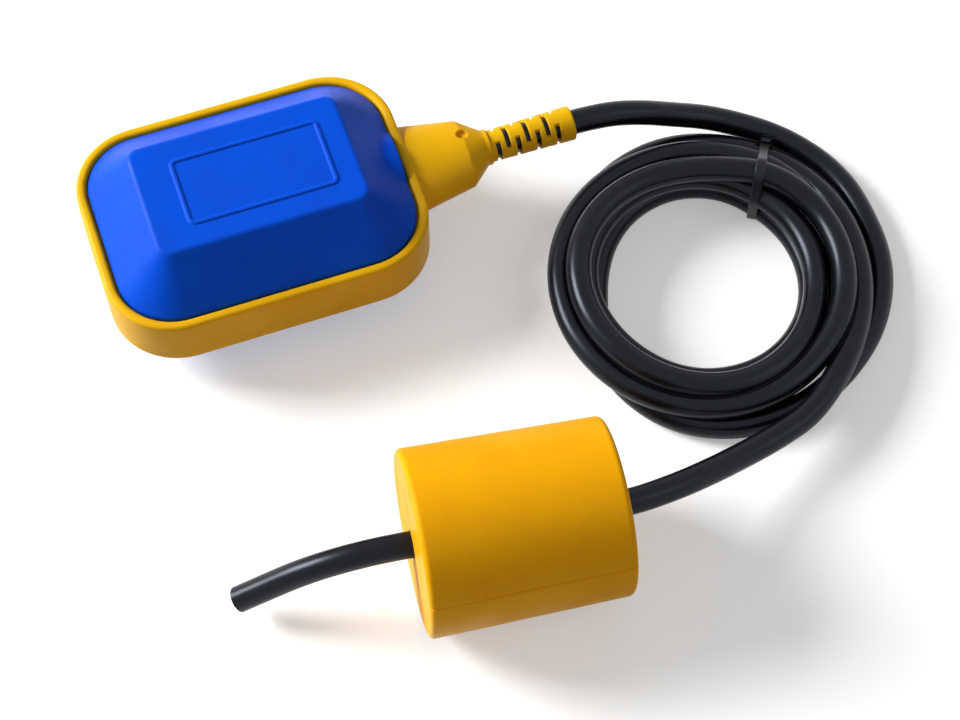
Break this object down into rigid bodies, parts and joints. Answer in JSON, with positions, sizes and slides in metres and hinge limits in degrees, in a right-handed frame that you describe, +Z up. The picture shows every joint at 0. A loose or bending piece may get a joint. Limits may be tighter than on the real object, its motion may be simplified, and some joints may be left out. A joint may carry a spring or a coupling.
{
  "type": "float level switch",
  "caption": "Tilting float level switch: a bevelled float with a ball-operated switch inside, a slotted cable boot, a tied coil of cable and a counterweight on the cable.",
  "frame": {"origin": "on the floor, under the middle of the float's body, on the lower shell's flat face", "axes": "+X out of the float's neck along the cable's axis, +Z up, the float lying flat"},
  "size_m": [0.2504, 0.2078, 0.0587],
  "materials": {
    "shell_blue": "satin moulded polypropylene",
    "band_yellow": "satin moulded polypropylene",
    "boot_rubber": "satin moulded elastomer",
    "seal_rubber": "matt",
    "cable_black": "satin neoprene sheath",
    "tie_black": "satin nylon",
    "weight_yellow": "satin moulded polypropylene",
    "inner_plastic": "natural",
    "lever_plastic": "natural acetal",
    "switch_black": "satin",
    "plunger_red": "satin",
    "terminal_brass": "bare",
    "steel": "bright",
    "iron": "as cast",
    "core_brown": "satin insulation",
    "core_blue": "satin insulation",
    "core_grey": "satin insulation"
  },
  "bodies": {
    "float": {"upper_shell": "shell_blue", "lower_shell": "shell_blue", "outer_band": "band_yellow", "neck_seal": "seal_rubber", "cable_boot": "boot_rubber", "ball_housing": "inner_plastic", "switch_bracket": "inner_plastic", "lever_pin": "steel", "microswitch_case": "switch_black", "microswitch_cover": "switch_black", "switch_rivets": "steel", "terminal_open": "terminal_brass", "terminal_closed": "terminal_brass", "terminal_common": "terminal_brass", "housing_screws": "steel", "bracket_screws": "steel", "cable_root": "cable_black", "cable_clamp": "steel", "core_common": "core_brown", "core_closed": "core_blue", "core_open": "core_grey", "cable_lead": "cable_black", "cable_coil": "cable_black", "cable_tie": "tie_black", "cable_run": "cable_black"},
    "ball": {"steel_ball": "steel"},
    "lever": {"ball_lever": "lever_plastic"},
    "plunger": {"microswitch_plunger": "plunger_red"},
    "counterweight": {"weight_shell_upper": "weight_yellow", "weight_shell_lower": "weight_yellow", "iron_core_upper": "iron", "iron_core_lower": "iron", "grip_sleeve": "seal_rubber"}
  },
  "joints": [
    {"name": "ball_roll", "type": "slide", "parent": "float", "child": "ball", "axis": [1, 0, 0], "range_m": [0, 0.016]},
    {"name": "lever_swing", "type": "hinge", "parent": "float", "child": "lever", "pos_m": [0.008, 0, 0.0292], "axis": [0, 1, 0], "range_deg": [0, 8.51]},
    {"name": "plunger_press", "type": "slide", "parent": "float", "child": "plunger", "axis": [0, 0, 1], "range_m": [0, 0.00105]},
    {"name": "counterweight_slide", "type": "slide", "parent": "float", "child": "counterweight", "axis": [0.9927, -0.1184, -0.0209], "range_m": [-0.005, 0]}
  ],
  "couplings": [
    {"joint": "lever_swing", "follows": "ball_roll", "rad_per_m": 9.2721},
    {"joint": "plunger_press", "follows": "ball_roll", "ratio": 0.064904}
  ]
}
